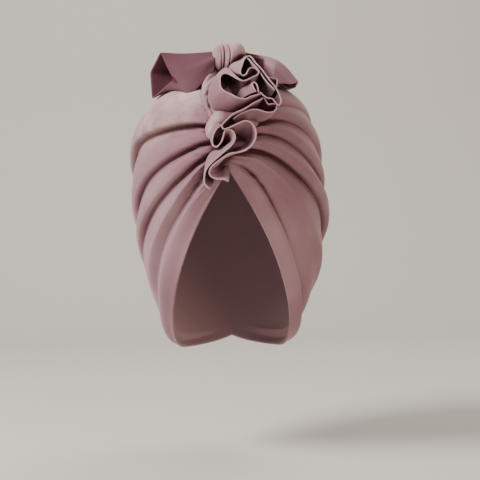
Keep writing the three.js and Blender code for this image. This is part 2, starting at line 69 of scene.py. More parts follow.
# Corners closer than this many metres are one
SAME_POINT = 2e-6

# The hollow for the head, in mm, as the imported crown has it, and its roundness: 2 is an ellipse
HALF_WIDTH, FRONT, BACK, RISE, DROP = 84.0, 98.0, 110.0, 107.0, 166.0
PLAN_POWER, DOME_POWER, NAPE_POWER = 2.1, 2.6, 2.0
CENTRE = np.array([0.0, 0.0, -RISE])
# Drops in mm of both ends of the front seam and of the back seam below the hollow's top
SEAM_TOP, SEAM_APEX, NAPE_TOP, NAPE_HEM = 40.0, 85.0, 152.0, 242.0
# How far out a ray is searched in mm, and in how many halvings
FARTHEST, HALVINGS = 400.0, 34
# Half the distance in mm over which a slope is measured
SLOPE_STEP = 0.05


def smooth(t):
    """Runs from 0 to 1 as t does, level at both ends."""
    t = np.clip(t, 0.0, 1.0)
    return t * t * (3 - 2 * t)


def mix(a, b, t):
    """The value at the share t of the way from a to b."""
    return a + (b - a) * t


def unit(v):
    """Vectors scaled to length 1."""
    return v / np.maximum(np.linalg.norm(v, axis=-1, keepdims=True), 1e-9)


def shares(across, along):
    """Two grids of shares from 0 to 1, one for each way over a piece."""
    return np.meshgrid(np.linspace(0, 1, across), np.linspace(0, 1, along), indexing="ij")


def reach(p):
    """How far out points lie in the hollow's shape: 1 on its surface."""
    x, y, z = p[..., 0], p[..., 1], p[..., 2] - CENTRE[2]
    plan = (np.abs(x / HALF_WIDTH) ** PLAN_POWER
            + np.abs(y / np.where(y < 0, FRONT, BACK)) ** PLAN_POWER) ** (1 / PLAN_POWER)
    power = np.where(z > 0, DOME_POWER, NAPE_POWER)
    return plan ** power + np.abs(z / np.where(z > 0, RISE, DROP)) ** power


def cast(start, way):
    """Where rays from inside meet the hollow's surface."""
    low = np.zeros(way.shape[:-1])
    high = np.full(way.shape[:-1], FARTHEST)
    for _ in range(HALVINGS):
        middle = (low + high) / 2
        inside = reach(start + middle[..., None] * way) < 1
        low = np.where(inside, middle, low)
        high = np.where(inside, high, middle)
    return start + low[..., None] * way


def normal(p):
    """The way straight out of the hollow's surface."""
    slopes = [reach(p + d) - reach(p - d) for d in np.eye(3) * SLOPE_STEP]
    return unit(np.stack(slopes, -1))


def spline(knots, values, t):
    """Smooth curve through values at knots, with slopes that follow their neighbours."""
    knots, values = np.asarray(knots, float), np.asarray(values, float)
    slopes = np.gradient(values, knots)
    i = np.clip(np.searchsorted(knots, t, side="right") - 1, 0, len(knots) - 2)
    span = knots[i + 1] - knots[i]
    u = np.clip((t - knots[i]) / span, 0, 1)
    return ((1 + 2 * u) * (1 - u) ** 2 * values[i] + u * (1 - u) ** 2 * span * slopes[i]
            + u * u * (3 - 2 * u) * values[i + 1] + u * u * (u - 1) * span * slopes[i + 1])


# Pleat lines of each side, a row for each from the top line to the hem. angles is its turn in degrees round
# the chord of the two seams, at the places of PLEAT_KNOTS from the front seam (0) to the back seam (1).
# rise is its height in mm, fade the place where it has sunk, and hang how far in mm it hangs over below.
Pleat = namedtuple("Pleat", "kind angles rise fade hang")
PLEAT_KNOTS = (0.0, 0.05, 0.10, 0.16, 0.25, 0.34, 0.5, 0.8)
LEFT_PLEATS = (
    ("flat", (0,) * 8, 0.0, 0.5, 0),
    ("flat", (20, 21, 22, 23, 24, 24, 24, 24), 0.3, 0.5, 0),
    ("flat", (42, 44, 46, 48, 50, 50, 50, 50), 4.0, 0.75, 0),
    ("crest", (63, 66.5, 69, 71, 69, 66.5, 66, 66), 7.6, 0.9, 2.0),
    ("crease", (66, 70, 73, 74, 71.5, 69.5, 69, 69), -0.6, 0.8, 0),
    ("flat", (70, 73.5, 78, 80, 79, 79, 79, 79), 2.6, 0.7, 0),
    ("crest", (77.5, 80.5, 87, 89, 89.7, 92.2, 93.6, 93.6), 5.8, 0.6, 1.0),
    ("crease", (81, 85.5, 90.5, 91.8, 92.3, 94, 96, 96), -0.4, 0.5, 0),
    ("crest", (87, 92, 98, 101.5, 103, 103.3, 105, 106), 6.2, 0.62, 1.2),
    ("crease", (92, 98.5, 104.5, 106, 106, 106, 108, 109), -0.8, 0.62, 0),
    ("crest", (98.5, 104, 112.5, 117, 119, 120.5, 123, 124), 5.4, 0.66, 0),
    ("valley", (107, 112, 119, 122, 122.5, 124, 127, 129), -0.8, 0.75, 0),
    ("crest", (118, 121, 124, 126, 127.5, 129, 132, 134), 4.4, 1.3, 0),
    ("hem", (138,) * 8, 0.6, 1.3, 0),
)
RIGHT_PLEATS = (
    ("flat", (0,) * 8, 0.0, 0.5, 0),
    ("flat", (22, 23, 25, 27, 28, 28, 28, 28), 0.3, 0.5, 0),
    ("crest", (47, 49, 50, 51, 52, 52, 52, 52), 3.2, 0.6, 0.8),
    ("crease", (51, 53, 54.5, 55.5, 56, 56, 56, 56), 0.6, 0.5, 0),
    ("crest", (56, 57.5, 59.3, 61.2, 64, 66, 67, 67), 4.2, 0.6, 1.4),
    ("crease", (59, 60.5, 62.5, 65, 68.5, 70.5, 71.5, 71.5), -0.2, 0.6, 0),
    ("crest", (63, 64.5, 68, 73.5, 78.5, 79, 79, 79), 4.6, 0.6, 1.2),
    ("crease", (67, 68.5, 72.5, 78, 82.3, 82, 81.5, 81.5), 0.2, 0.5, 0),
    ("crest", (74.5, 76.5, 82.5, 87.5, 88, 86.5, 85.5, 85.5), 7.2, 0.9, 2.2),
    ("crease", (79, 81, 86.5, 91, 91.6, 90, 89, 89), -0.6, 0.85, 0),
    ("ridge", (92, 94, 99, 104, 108, 109, 110, 111), 7.0, 0.85, 0),
    ("crease", (107, 111, 118, 124, 127.5, 129, 130, 130), -1.2, 1.15, 0),
    ("crest", (112, 115, 121.5, 127, 130.5, 132, 133, 133), 4.6, 1.3, 0),
    ("hem", (138,) * 8, 0.4, 1.3, 0),
)
LAST_ROW = len(LEFT_PLEATS) - 1
# Height in mm at the front seam, where the pleats have grown to their own, and where they sink to the nape
GATHER_RISE, GATHER_END, NAPE_START = 3.0, 0.06, 0.8
# The hem is turned up to be level at the nape: by what share, from where and over how long
NAPE_LEVEL, LEVEL_POWER, LEVEL_START, LEVEL_RUN = 0.14, 3, 0.68, 0.3
# A crest falls to its crease with this power. A ridge drops by a share at once and falls to the rest late
CREST_FALL = 3.2
RIDGE_DROP, RIDGE_DROP_END, RIDGE_FALL = 0.55, 0.28, 5
# How round the way up from a crease and the way down to a valley are: 0 is straight
RISE_ROUNDING, VALLEY_ROUNDING = 0.5, 0.4
# How an overhang gathers on its flank, the turn in radians that measures the cloth, and the least mm a radian
HANG_POWER, HANG_STEP, LEAST_SPREAD = 1.3, 0.01, 12.0


def fall(kind, below, t):
    """How far the height has run from one pleat line to the one below, at the share t between them."""
    if kind == "crest" and below == "crease":
        return t ** CREST_FALL
    if kind == "ridge":
        return RIDGE_DROP * smooth(t / RIDGE_DROP_END) + (1 - RIDGE_DROP) * t ** RIDGE_FALL
    if kind == "crease" and below in ("crest", "ridge"):
        return mix(t, smooth(t), RISE_ROUNDING)
    if kind == "crest" and below == "valley":
        return mix(t, smooth(t), VALLEY_ROUNDING)
    return smooth(t)


def crown_points(place, along, lift, pleats=1.0, detail=True):
    """Points of the crown. place runs over the pleat rows and is negative on the left side, along runs
    from the front seam to the back seam, and pleats is a share of the pleats' height. Without detail
    nothing hangs over and there are no ripples."""
    side = np.sign(place) + (place == 0)
    row = np.clip(np.floor(np.abs(place)).astype(int), 0, LAST_ROW - 1)
    part = np.abs(place) - row
    turn, height, hang = (np.zeros(place.shape) for _ in range(3))
    for rows, mine in ((LEFT_PLEATS, side < 0), (RIGHT_PLEATS, side > 0)):
        for i in range(LAST_ROW):
            at = mine & (row == i)
            line, below = Pleat(*rows[i]), Pleat(*rows[i + 1])
            s, t = along[at], part[at]
            turn[at] = mix(spline(PLEAT_KNOTS, line.angles, s), spline(PLEAT_KNOTS, below.angles, s), t)
            sunk = mix(line.fade, below.fade, t)
            keep = 1 - smooth((s - sunk / 2) / (sunk / 2))
            height[at] = mix(line.rise, below.rise, fall(line.kind, below.kind, t)) * keep * pleats
            hang[at] = line.hang * keep * np.sin(np.pi * np.clip(t, 0, 1)) ** HANG_POWER
    grow = smooth(along / GATHER_END)
    tail = 1 - smooth((along - NAPE_START) / (1 - NAPE_START))
    height = height * grow * tail + GATHER_RISE * (1 - grow)
    down = np.abs(place) / LAST_ROW
    turn = turn * (1 - NAPE_LEVEL * down ** LEVEL_POWER * smooth((along - LEVEL_START) / LEVEL_RUN))
    zero = np.zeros(place.shape)
    ahead = cast(np.stack([zero, zero, -mix(SEAM_TOP, SEAM_APEX, down)], -1),
                 np.broadcast_to([0.0, -1.0, 0.0], place.shape + (3,)))
    behind = cast(np.stack([zero, zero, -mix(NAPE_TOP, NAPE_HEM, down)], -1),
                  np.broadcast_to([0.0, 1.0, 0.0], place.shape + (3,)))
    chord = unit(behind - ahead)
    middle = (ahead + behind) / 2
    lifted = np.stack([zero, -chord[..., 2], chord[..., 1]], -1)
    sweep = (np.pi * along)[..., None]

    def surface(angle):
        """Points of the hollow on each pleat's plane, turned by an angle round its chord."""
        outward = np.sin(angle)[..., None] * np.array([1.0, 0, 0]) + np.cos(angle)[..., None] * lifted
        return cast(middle, -np.cos(sweep) * chord + np.sin(sweep) * outward)

    angle = np.radians(turn) * side
    base = surface(angle)
    if detail:
        spread = np.linalg.norm(surface(angle + HANG_STEP * side) - base, axis=-1) / HANG_STEP
        nudge = hang * grow * tail / np.maximum(spread, LEAST_SPREAD)
        base = surface(angle + nudge * side)
        height = height + ripples(place, along, turn) * grow * tail
    return base + normal(base) * (height + lift)[..., None]


# Small gathers at the front seam, a row for each wave: share, radians to a degree of turn, radians along
# the pleat, and shift, which changes sides with the cloth
GATHERS = ((1.0, 1.15, 7.0, 0.0), (0.6, 2.03, -11.0, 1.3))
GATHER_HEIGHT, GATHER_PLACE = 0.28, 0.06
# Soft dents of the crushed cloth, the product of two waves: radians to a degree, radians along and shift
DENTS = ((0.11, 9.0, 0.0), (0.07, -13.0, 2.0))
DENT_HEIGHT, DENT_PLACE, DENT_SPREAD = 0.5, 0.4, 0.35


def ripples(place, along, turn):
    """Height in mm of the gathers at the front seam and of the dents."""
    fine = sum(share * np.sin(turn * rate + drift * along + shift * np.sign(place))
               for share, rate, drift, shift in GATHERS)
    soft = np.prod([np.sin(turn * rate + drift * along + shift) for rate, drift, shift in DENTS], axis=0)
    near = np.exp(-((along - GATHER_PLACE) / GATHER_PLACE) ** 2)
    spread = np.exp(-((along - DENT_PLACE) / DENT_SPREAD) ** 2)
    return GATHER_HEIGHT * near * fine + DENT_HEIGHT * soft * spread


def front_points(across, turn, lift):
    """Points over the forehead and the dome: mm from the centre line, degrees up, mm of lift."""
    a = np.radians(turn)
    zero = np.zeros(np.shape(a))
    base = cast(np.stack([across, zero, zero + CENTRE[2]], -1), np.stack([zero, -np.cos(a), np.sin(a)], -1))
    return base + normal(base) * np.asarray(lift)[..., None]


def grid_normals(p, wrap=False):
    """Normals of a grid of points from the differences along its two ways."""
    along = np.gradient(p, axis=1)
    across = np.roll(p, -1, 0) - np.roll(p, 1, 0) if wrap else np.gradient(p, axis=0)
    return unit(np.cross(across, along))


def place_in_scene(name, data):
    """A new object of mesh, light or camera data."""
    obj = bpy.data.objects.new(name, data)
    bpy.context.collection.objects.link(obj)
    return obj


def quads(ids):
    """The faces between the points of a grid."""
    return np.stack([ids[:-1, :-1], ids[1:, :-1], ids[1:, 1:], ids[:-1, 1:]], -1).reshape(-1, 4).tolist()


def make_object(name, points, faces, marks=None):
    """A mesh object from points in mm, faces, and shares at the points by the names of their marks."""
    mesh = bpy.data.meshes.new(name)
    mesh.from_pydata((np.asarray(points) * MM).tolist(), [], [tuple(f) for f in faces])
    for mark, values in (marks or {}).items():
        mesh.attributes.new(mark, "FLOAT", "POINT").data.foreach_set("value", np.asarray(values, np.float32))
    mesh.polygons.foreach_set("use_smooth", [True] * len(mesh.polygons))
    mesh.validate()
    mesh.update()
    return place_in_scene(name, mesh)


# Steps round the half-round rim of a cut or turned edge, as shares of the half turn
RIM_STEPS = (0.25, 0.5, 0.75)


def cloth(name, outer, inner, wrap=False, weld=False, **marks):
    """A closed wall of cloth from its outer and inner grids, with half-round rims at the open borders.
    With wrap the first way closes on itself, and with weld the ends of the other way are sewn shut. Marks
    are grids of shares on the outer skin, and the mark reverse is 1 all over the inner skin."""
    if np.einsum("ijk,ijk->", grid_normals(outer, wrap), outer - inner) < 0:
        outer, inner = outer[::-1], inner[::-1]
        marks = {mark: grid[::-1] for mark, grid in marks.items()}
    n, m = outer.shape[:2]
    ids = np.arange(2 * n * m).reshape(2, n, m)
    points = [outer.reshape(-1, 3), inner.reshape(-1, 3)]
    blank = np.zeros((n, m))
    grids = {"edge": blank, "crush": blank, "reverse": blank, **marks}
    marks = {mark: [grid.ravel(), (grid if mark == "edge" else blank).ravel()]
             for mark, grid in grids.items()}
    marks["reverse"][1] = blank.ravel() + 1
    if weld:
        for j in (0, m - 1):
            for skin in (0, 1):
                ids[skin, n // 2 + 1:, j] = ids[skin, :n // 2, j][::-1][:n - n // 2 - 1]
    skins = np.concatenate([ids, ids[:, :1]], 1) if wrap else ids
    faces = quads(skins[0]) + quads(skins[1][:, ::-1])
    rims = []
    if not weld:
        rims += [((slice(None), 0), (slice(None), 1), False), ((slice(None), -1), (slice(None), -2), True)]
    if not wrap:
        rims += [((0, slice(None)), (1, slice(None)), True), ((-1, slice(None)), (-2, slice(None)), False)]
    count = 2 * n * m
    for at, beside, flip in rims:
        o, i = outer[at], inner[at]
        middle, half = (o + i) / 2, (o - i) / 2
        out = unit(middle - (outer[beside] + inner[beside]) / 2)
        out = out * np.linalg.norm(half, axis=-1, keepdims=True)
        rows = [ids[0][at]]
        for step in RIM_STEPS:
            arc = middle + half * math.cos(math.pi * step) + out * math.sin(math.pi * step)
            if not wrap and not weld:
                arc[0], arc[-1] = mix(o[0], i[0], step), mix(o[-1], i[-1], step)
            points.append(arc)
            for mark, grid in grids.items():
                marks[mark].append(grid[at])
            rows.append(np.arange(count, count + len(arc)))
            count += len(arc)
        rows.append(ids[1][at])
        strip = np.stack(rows, 1)
        strip = np.concatenate([strip, strip[:1]]) if wrap and len(strip) == n else strip
        faces += quads(strip if flip else strip[:, ::-1])
    used = [tuple(dict.fromkeys(f)) for f in faces]
    obj = make_object(name, np.concatenate(points), [f for f in used if len(f) > 2],
                      {mark: np.concatenate(rows) for mark, rows in marks.items()})
    tidy(obj)
    return obj


def tidy(obj):
    """Welds the doubled corners of the rims and turns the faces outward."""
    mesh = bmesh.new()
    mesh.from_mesh(obj.data)
    bmesh.ops.remove_doubles(mesh, verts=mesh.verts, dist=SAME_POINT)
    bmesh.ops.recalc_face_normals(mesh, faces=mesh.faces)
    mesh.to_mesh(obj.data)
    mesh.free()
    obj.data.polygons.foreach_set("use_smooth", [True] * len(obj.data.polygons))


# Steps between two pleat lines, rings from seam to seam, and how far they bunch at lines and gather
CROWN_STEPS, CROWN_RINGS, STEP_BUNCHING, RING_BUNCHING = 12, 150, 0.75, 1.25
# Where the crown's pile is crushed and pale, round its upper left where the light falls, so partly a painted
# highlight: in mm, how wide that is and how far out it fades
PALE_PATCH_AT, PALE_PATCH_REACH, PALE_PATCH_FADE = np.array([-50.0, -50.0, -10.0]), 15.0, 60.0


def make_crown(look):
    """The pleated crown: a fine outer skin over a smoother inner one."""
    share = np.linspace(0, 1, CROWN_STEPS + 1)[:-1]
    bunched = mix(share, (1 - np.cos(np.pi * share)) / 2, STEP_BUNCHING)
    right = np.concatenate([np.arange(LAST_ROW)[:, None] + bunched[None]], axis=0).ravel()
    right = np.append(right, LAST_ROW)
    place = np.concatenate([-right[:0:-1], right])
    along = np.linspace(0, 1, CROWN_RINGS + 1) ** RING_BUNCHING
    grid = np.meshgrid(place, along, indexing="ij")
    outer = crown_points(grid[0], grid[1], look.crown_cloth / MM, look.pleat_share)
    inner = crown_points(grid[0], grid[1], 0, detail=False)
    # Pale crushed pile round the upper left of the crown, partly a painted highlight
    crush = 1 - smooth((np.linalg.norm(outer - PALE_PATCH_AT, axis=-1) - PALE_PATCH_REACH) / PALE_PATCH_FADE)
    return cloth("crown_velvet", outer, inner, weld=True, crush=crush)


# The photograph's camera: its place in metres, its turn, tilt and roll in degrees, and the frame's side and
# the focal length in pixels, from 0.93 mm a pixel at 1200 mm
CAMERA_PLACE, CAMERA_ANGLES = np.array([0.0, -1.2, -0.11625]), (0.46, 1.55, 1.3)
FRAME, FOCAL = 480, 1200 / 0.93
# Where the search along a sight line starts in mm, and its halvings
NEAREST, SIGHT_HALVINGS = 900.0, 36


def camera_axes():
    """The camera's right, up and forward directions."""
    pan, pitch, roll = (math.radians(a) for a in CAMERA_ANGLES)
    ahead = np.array([math.sin(pan) * math.cos(pitch), math.cos(pan) * math.cos(pitch), -math.sin(pitch)])
    level = unit(np.cross(ahead, [0, 0, 1]))
    rise = np.cross(level, ahead)
    right = level * math.cos(roll) - rise * math.sin(roll)
    up = rise * math.cos(roll) + level * math.sin(roll)
    return right, up, ahead


def over_head(px, py, lift):
    """The points seen at pixels px, py of the photograph, lift mm over the head's form."""
    right, up, ahead = camera_axes()
    px, py = np.asarray(px, float)[..., None], np.asarray(py, float)[..., None]
    ray = unit(ahead + right * (px - FRAME / 2) / FOCAL - up * (py - FRAME / 2) / FOCAL)
    eye = CAMERA_PLACE / MM

    def height(t):
        """How far over the head's form a sight line is after t mm."""
        out = eye + t[..., None] * ray - CENTRE
        gauge = reach(out + CENTRE) ** (1 / np.where(out[..., 2] > 0, DOME_POWER, NAPE_POWER))
        return np.linalg.norm(out, axis=-1) * (1 - 1 / np.maximum(gauge, 1e-6))

    far = ((CENTRE - eye) * ray).sum(-1)
    near = np.full(far.shape, NEAREST)
    for _ in range(SIGHT_HALVINGS):
        middle = (near + far) / 2
        outside = height(middle) > lift
        near, far = np.where(outside, middle, near), np.where(outside, far, middle)
    return eye + near[..., None] * ray


# Frill strips, a row for each bend. A strip is a surface through three lines, given by their pixels in the
# photograph: its free edge, its belly and its gathered foot. lift is the edge's height over the head in mm.
Bend = namedtuple("Bend", "edge_x edge_y belly_x belly_y foot_x foot_y lift")
# Height of the foot in mm, the belly's share of the edge's height, the step along a strip in mm, the rows
# down it, and how far these bunch at the free edge
FOOT_LIFT, BELLY_LIFT, STRIP_STEP, STRIP_ROWS, STRIP_BUNCHING = 4.0, 0.62, 0.8, 17, 1.35
# The waves of a strip: height in mm, radians to a step along and radians down
STRIP_WAVE, WAVE_ALONG, WAVE_DOWN = 0.25, 0.9, 4
# Where the pale band along the cut edge starts, as a share of the strip's depth: partly the edge's own tone
# and partly a painted highlight
PALE_EDGE_START = 0.985
# Runs down over the forehead, with a big lobe at its right
DIAGONAL_STRIP = (
    (262.5, 97.8, 259, 104, 251, 113, 25),
    (257.5, 101, 254, 108, 248, 117, 25),
    (251, 104.8, 248, 112, 243, 120, 25),
    (243.5, 109, 241, 116, 238, 123, 25),
    (236.3, 112.6, 234.5, 119, 233, 126, 25),
    (230, 116.6, 229, 122, 230, 129, 25),
    (224.8, 121.4, 225, 126, 229, 132, 25),
    (222.2, 126, 224, 129.5, 230, 134, 25),
    (224, 128.8, 227, 131.5, 232, 135, 25),
    (228.5, 128.2, 230, 132, 234, 136, 25),
    (233.3, 125.6, 234, 131, 236, 136, 25),
    (239.5, 122.6, 239, 129, 238, 137, 25),
    (246, 121.1, 245, 129, 241, 138, 25),
    (252.2, 123.6, 250, 132, 243, 140, 25),
    (255.6, 129, 252.5, 137, 243, 143, 25),
    (255.6, 137, 252, 142, 242, 146, 25),
    (252.4, 145, 247, 148, 239, 149, 25),
    (246, 149.9, 241, 151, 235, 151, 25),
    (238, 152.2, 234.5, 153, 231, 153, 24),
    (229.6, 154, 228, 156, 228, 155, 24),
    (222.4, 157.7, 223, 159, 225, 157, 23),
    (215.6, 163.2, 218, 164, 222, 160, 23),
    (210.6, 168.3, 214.5, 168.5, 220.5, 163, 22),
    (209, 173, 214, 172, 220, 165, 22),
    (211.2, 176.6, 216, 174.5, 221, 166, 22),
    (216.8, 178.8, 219.5, 175.5, 223, 166, 21),
    (223.5, 179.6, 224.5, 175, 225.5, 165, 20),
    (228, 181.5, 228.5, 176, 228, 165, 20),
)
# Strip that rolls inside the lobe
INNER_STRIP = (
    (210.3, 189.3, 212, 184, 219.5, 168, 22),
    (204.4, 182.5, 207.5, 178, 219.5, 166, 22),
    (204.8, 174, 207, 170, 220, 164, 22),
    (208, 167.3, 207.5, 163, 221, 161, 22),
    (213, 161.4, 209, 156.5, 222, 158, 22),
    (222, 154, 213, 151.5, 224, 155, 22),
    (231, 146, 222, 147.5, 226, 152, 23),
    (235.2, 138, 228, 144, 227, 149, 24),
    (233.7, 131.9, 228, 140, 226, 147, 24),
    (229.3, 129.6, 226, 138, 225, 145, 24),
    (225, 131.4, 223.5, 139, 223, 145, 24),
    (223.2, 136.5, 221.5, 142, 222, 146, 23),
    (221, 142.5, 219.5, 145, 221, 147, 22),
    (217.3, 147, 216.5, 146.5, 220.5, 147, 22),
    (214, 146, 213.6, 145, 220, 146, 21),
    (212.6, 139.5, 211.5, 139, 219, 142, 20),
    (214, 133, 211.5, 133, 219, 138, 19),
    (217.5, 128.5, 213.5, 128, 221, 134, 18),
    (222, 125.5, 217, 124, 224, 130, 18),
)
# Small lobe at the right
LOBE_STRIP = (
    (260.8, 94.5, 257.5, 101, 250, 111, 23),
    (265.8, 100.7, 261, 106, 252, 114, 23),
    (268.6, 104, 264, 109, 254, 117, 23),
    (272.8, 103.8, 267, 110, 256, 119, 23),
    (276, 105, 270, 111.5, 257, 120, 23),
    (276.8, 107.8, 271.5, 114, 258, 122, 23),
    (275, 110.9, 270.5, 116.5, 257, 123, 23),
    (271, 112.1, 266.5, 118, 255, 124, 23),
    (265, 111.9, 262.5, 118.5, 252, 124, 23),
    (258.6, 110, 258.6, 118, 249, 124, 23),
    (252, 109.2, 252, 117, 246, 124, 23),
    (245.5, 111.6, 245.5, 119, 243, 126, 23),
    (239, 115, 239.5, 121, 240, 128, 22),
    (233, 118.6, 234, 124, 236, 130, 22),
)
# Folds round the rose, up to its peak and down its right side
ROSE_STRIP = (
    (259.8, 93.6, 258, 100, 250, 112, 27),
    (252, 96.3, 250, 105, 244, 116, 27),
    (246, 98.9, 243, 108, 238, 118, 27),
    (239, 97.9, 233.5, 108, 231, 119, 27),
    (231, 94.2, 221.5, 106, 226, 119, 27),
    (224.5, 91.2, 213, 103.5, 222, 117, 27),
    (221, 87.3, 209.3, 99, 220, 113, 26),
    (220, 82.2, 209.6, 91.5, 220, 108, 26),
    (220.6, 77, 212.6, 83.5, 221, 103, 25),
    (223.5, 73.8, 219, 76, 224, 99, 25),
    (227.8, 73.6, 225, 70.5, 229, 97, 25),
    (232, 75.8, 230.5, 73, 234, 97, 25),
    (236.5, 78.8, 236, 79, 238, 98, 25),
    (241.5, 80.4, 241, 84, 241, 99, 25),
    (246.5, 80, 246, 86.5, 244, 99, 25),
    (252.5, 77.3, 250.5, 85.5, 247, 98, 25),
    (257.3, 74.3, 254, 83, 249, 97, 25),
    (258.8, 71.5, 256, 80.5, 250, 95, 25),
    (256.6, 68.9, 254, 77.5, 249, 93, 25),
    (253, 67.8, 251, 76.5, 247, 91, 25),
    (249.8, 68.6, 248, 77, 244, 90, 25),
    (247.5, 71.2, 245, 78, 241, 90, 25),
    (245.8, 74.6, 240.5, 79, 238, 90, 25),
    (243.6, 76, 236, 78.5, 236, 90, 25),
    (241.5, 74.4, 231.5, 76, 234, 89, 25),
    (240.8, 70.6, 228.6, 70.5, 233, 88, 24),
    (242, 65.5, 231.5, 64.5, 234, 86, 24),
    (244.2, 60.5, 237, 60.6, 238, 84, 24),
    (246.4, 57.3, 243.3, 58.6, 243, 82, 24),
    (249.2, 56.3, 249.3, 61, 248, 82, 24),
    (253.5, 59.8, 253, 68, 252, 84, 25),
    (258.8, 66.3, 258, 74, 255, 88, 25),
    (265.2, 73.9, 264, 81, 259, 93, 25),
    (271.5, 82.2, 270, 88, 263, 98, 25),
    (277.2, 90.5, 275, 95, 266, 104, 25),
    (280.7, 97.5, 277.5, 101, 267, 109, 25),
    (280.6, 102.6, 277, 106, 266, 113, 25),
    (277.9, 105.2, 273, 109, 263, 115, 25),
    (275.1, 102.3, 270, 107, 260, 114, 25),
    (272, 98.5, 267, 104, 258, 112, 25),
    (267, 97.6, 262.5, 103, 255, 111, 25),
    (263, 95.2, 259, 101, 252, 110, 25),
    (260.2, 92.4, 257, 98.5, 250, 108, 25),
)
# Small roll inside the rose
TEARDROP_STRIP = (
    (256.3, 91.9, 246, 96, 238, 103, 24),
    (253.6, 87.4, 244, 91, 236, 100, 24),
    (252.3, 84, 243, 88, 235, 97, 24),
    (253.6, 82.2, 245.5, 87, 237, 96, 24),
    (255.9, 83.6, 250, 89, 242, 98, 24),
    (258, 88, 253, 94, 244, 102, 24),
    (259, 92.2, 254, 98, 245, 105, 24),
)
# Layer behind the rose's right edge
LINING_STRIP = (
    (247.6, 58.6, 246, 66, 245, 84, 24),
    (250, 60.6, 250, 68, 249, 85, 24),
    (254.3, 65.2, 254, 73, 251, 87, 24),
    (262.2, 75.8, 261, 82, 255, 94, 24),
    (269.8, 85, 267.5, 90, 260, 99, 24),
    (274.4, 90.2, 272, 95, 262, 104, 24),
)
# Corner that stands out at the right
CORNER_STRIP = (
    (266, 76.4, 264, 84, 262, 95, 20),
    (269.6, 77.7, 268, 86, 264, 97, 20),
    (273.5, 78.4, 271, 87, 266, 98, 20),
    (276.8, 79.4, 274, 89, 268, 100, 20),
    (276.6, 83, 274.5, 92, 268, 103, 20),
    (275.8, 87.5, 273.5, 95, 267, 106, 20),
)


def frill_strip(rows, cloth_mm):
    """A strip of cloth through its free edge, belly and foot, with a cut edge along its free side."""
    bend = Bend(*np.array(rows, float).T)
    foot = over_head(bend.foot_x, bend.foot_y, FOOT_LIFT)
    belly = over_head(bend.belly_x, bend.belly_y, bend.lift * BELLY_LIFT)
    edge = over_head(bend.edge_x, bend.edge_y, bend.lift)
    gaps = np.linalg.norm(np.diff(edge, axis=0), axis=-1)
    knots = np.concatenate([[0], np.cumsum(np.sqrt(gaps))])
    steps = np.linspace(0, knots[-1], int(gaps.sum() / STRIP_STEP))
    foot, belly, edge = (np.stack([spline(knots, line[:, k], steps) for k in range(3)], -1)[:, None]
                         for line in (foot, belly, edge))
    v = (1 - (1 - np.linspace(0, 1, STRIP_ROWS)) ** STRIP_BUNCHING)[None, :, None]
    middle = (1 - v) * (1 - 2 * v) * foot + 4 * v * (1 - v) * belly + v * (2 * v - 1) * edge
    out = grid_normals(middle)
    middle = middle + out * STRIP_WAVE * np.sin(steps[:, None, None] * WAVE_ALONG + WAVE_DOWN * v) * v
    v = np.broadcast_to(v[..., 0], middle.shape[:2])
    # The pale band along the cut edge is partly the edge's own tone and partly a painted highlight
    strip = cloth("strip", middle + out * cloth_mm / 2, middle - out * cloth_mm / 2,
                  edge=smooth((v - PALE_EDGE_START) / (1 - PALE_EDGE_START)))
    strip.data.attributes["reverse"].data.foreach_set("value", np.zeros(len(strip.data.vertices)))
    return strip


def make_ruffle(name, strips, look):
    """A ruffle: its strips joined into one piece."""
    mesh = bmesh.new()
    for rows in strips:
        strip = frill_strip(rows, look.ruffle_cloth / MM)
        mesh.from_mesh(strip.data)
        bpy.data.objects.remove(strip, do_unlink=True)
    data = bpy.data.meshes.new(name)
    mesh.to_mesh(data)
    mesh.free()
    return place_in_scene(name, data)


# The band runs from its knob at the left to its narrow right end: across in mm, turns in degrees up
BAND_LEFT, BAND_RIGHT, BAND_RISE, BAND_STEPS = -17.6, 25.5, 7.5, (91, 51)
KNOB_TURN, KNOB_HALF, KNOB_RISE, KNOB_PLACE, KNOB_SPREAD = 30.5, 8.5, 2.5, 0.16, 0.17
RIGHT_TURN, RIGHT_HALF, RIGHT_START = 35.0, 5.5, 0.42
# Height of its border over the head in mm, outside and inside, and the share of its rise that the inside has
BAND_BED, BAND_INSIDE, BAND_LINING = 5.5, 4.0, 0.8
# Roundness of the band along and across, and the least share of its breadth that its ends keep
BAND_ROUND_ALONG, BAND_ROUND_ACROSS, BAND_TIP = 2.4, 2.2, 0.06
# Creases of the band: depth in mm, radians along and radians across
BAND_CREASE, CREASES_ALONG, CREASES_ACROSS = 0.5, 19, 4


def arch(share, power):
    """Rises from 0 at the ends of a way to 1 at its middle: power 2 is round, more is boxier."""
    return np.sqrt(np.maximum(0, 1 - np.abs(2 * share - 1) ** power))


def make_band(look):
    """The front band: a padded roll with a round knob at its left end."""
    u, v = shares(*BAND_STEPS)
    run = (1 - np.cos(np.pi * u)) / 2
    knob = np.exp(-((run - KNOB_PLACE) / KNOB_SPREAD) ** 2)
    swell = arch(run, BAND_ROUND_ALONG) * arch(v, BAND_ROUND_ACROSS)
    creases = BAND_CREASE * np.sin(run * CREASES_ALONG + CREASES_ACROSS * v) * arch(run, 2) * arch(v, 2)
    rise = (BAND_RISE + KNOB_RISE * knob) * swell + creases
    across = mix(BAND_LEFT, BAND_RIGHT, run)
    beyond = smooth(run / RIGHT_START)
    half = mix(KNOB_HALF, RIGHT_HALF, beyond) * np.maximum(arch(run, BAND_ROUND_ALONG), BAND_TIP)
    turn = mix(KNOB_TURN, RIGHT_TURN, beyond) + (2 * v - 1) * half
    outer = front_points(across, turn, BAND_BED + rise)
    inner = front_points(across, turn, BAND_INSIDE + BAND_LINING * rise)
    # The knob is painted pale, partly crushed pile and partly a painted highlight on the bulge
    return cloth("front_band_velvet", outer, inner, crush=knob)


# The strap's left side from the band up to the knot: turn in degrees up, across in mm
STRAP_SIDE = ((31, -12.5), (38, -15.8), (44, -19.2), (50, -20.6), (56, -20.4), (63, -19), (71, -16))
